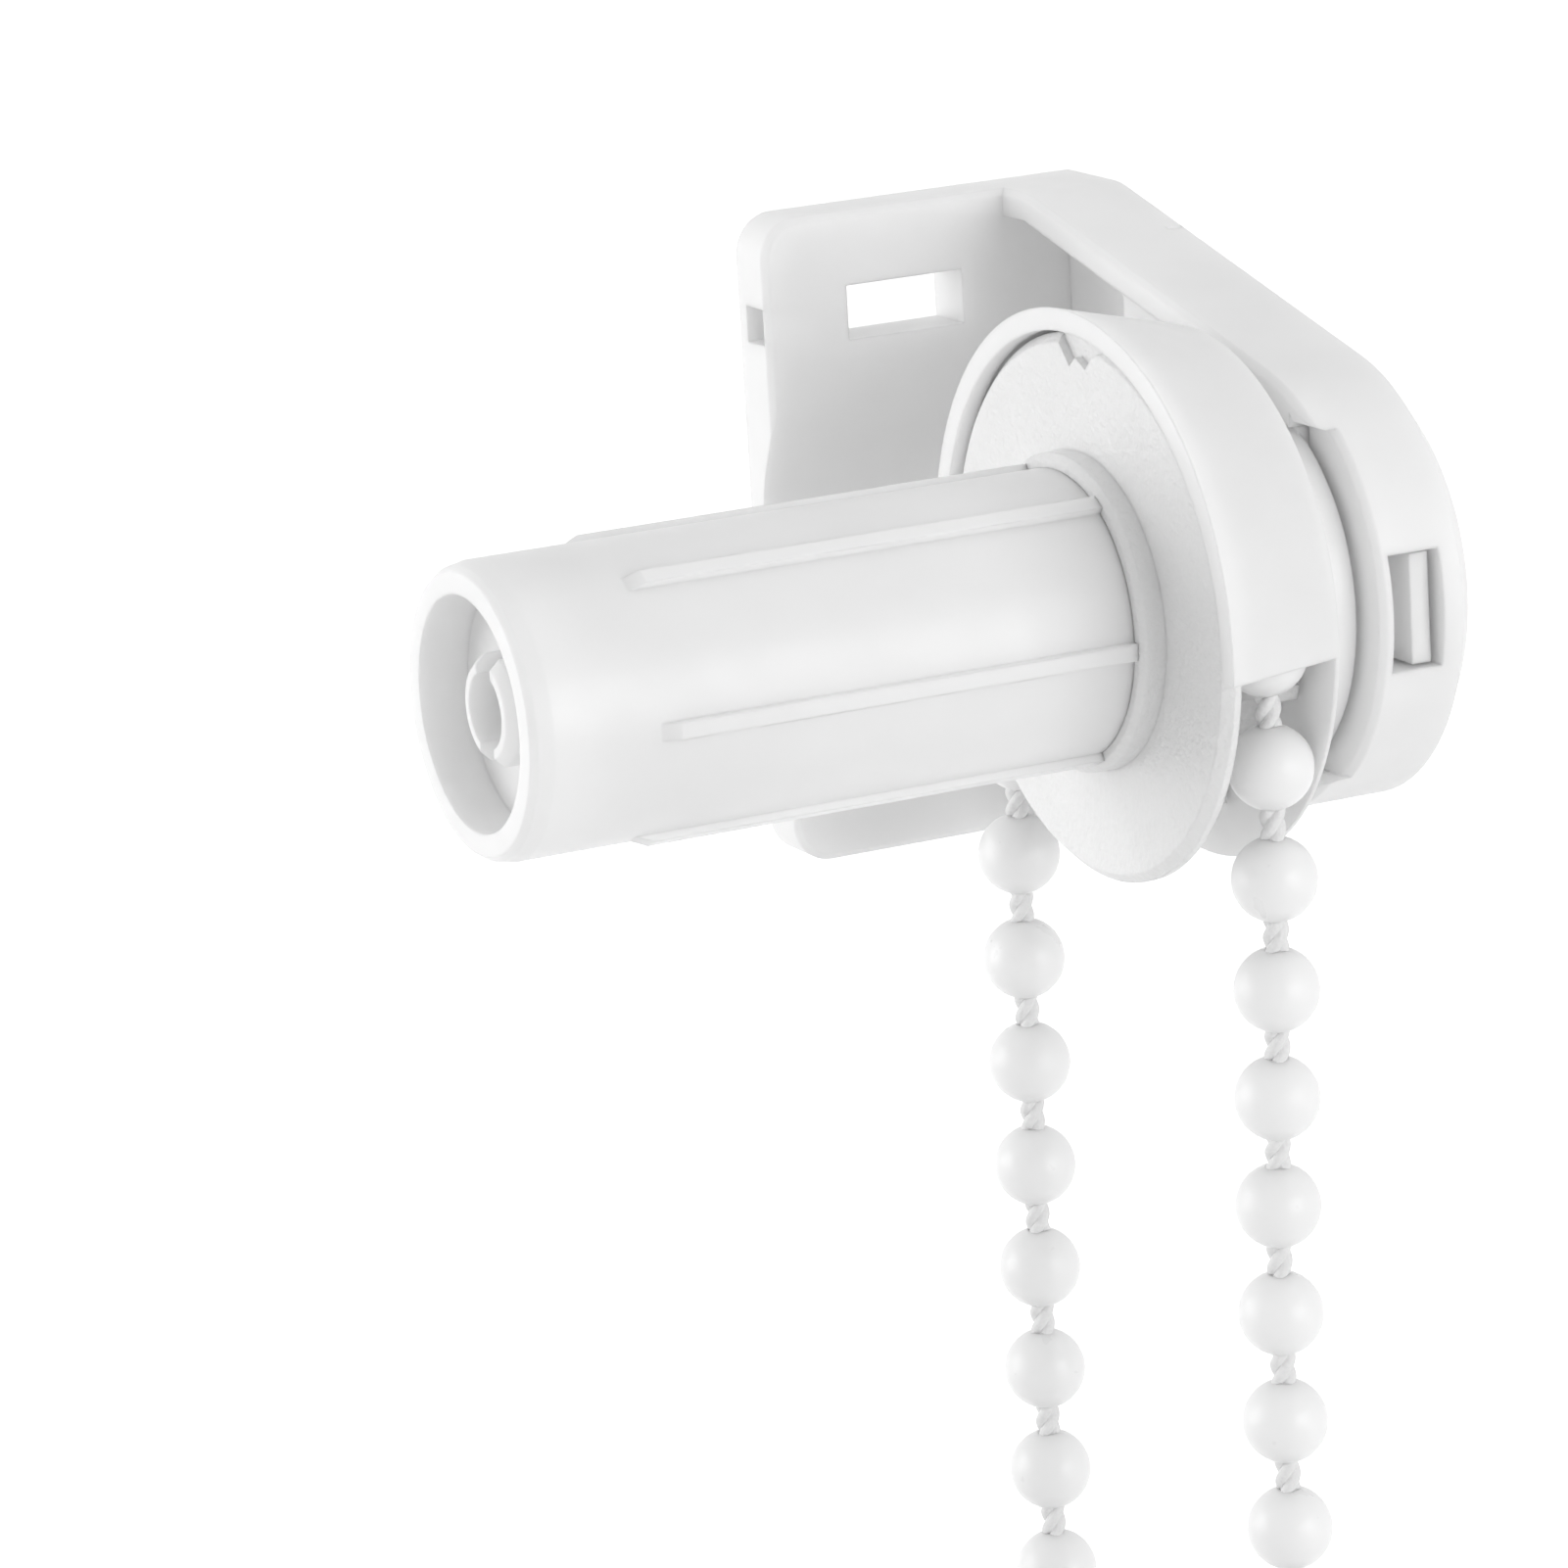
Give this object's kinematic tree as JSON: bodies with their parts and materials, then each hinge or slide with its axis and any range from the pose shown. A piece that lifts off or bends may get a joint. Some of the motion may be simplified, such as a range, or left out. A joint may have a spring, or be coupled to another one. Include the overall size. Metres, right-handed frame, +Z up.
{
  "type": "roller blind bracket with chain clutch",
  "caption": "Wall bracket for a roller blind with a plugged-in chain clutch: slotted wall plate, D-shaped side plate, hooded chain wheel, ribbed tube spigot and a loop of bead chain.",
  "frame": {"origin": "centre of the wall plate's back face, which lies on the wall", "axes": "+Z up, +Y into the wall, the tube axis along X with the spigot pointing to -X and the side plate at +X"},
  "size_m": [0.0525, 0.0438, 0.0929],
  "materials": {
    "bracket_white": "satin",
    "clutch_white": "satin",
    "wheel_white": "matte",
    "spring_steel": "satin",
    "cord_white": "matte",
    "bead_white": "gloss"
  },
  "bodies": {
    "base": {"bracket": "bracket_white", "chain_guard": "clutch_white", "core_shaft": "clutch_white", "chain_cord": "cord_white", "chain_beads": "bead_white"},
    "rotor": {"chain_wheel": "wheel_white", "drive_spigot": "clutch_white", "wrap_spring_front": "spring_steel", "wrap_spring_rear": "spring_steel"}
  },
  "joints": [
    {"name": "spigot_turn", "type": "hinge", "parent": "base", "child": "rotor", "pos_m": [0, -0.028, 0], "axis": [1, 0, 0], "continuous": true, "deforming": ["chain_cord", "chain_beads"]}
  ]
}
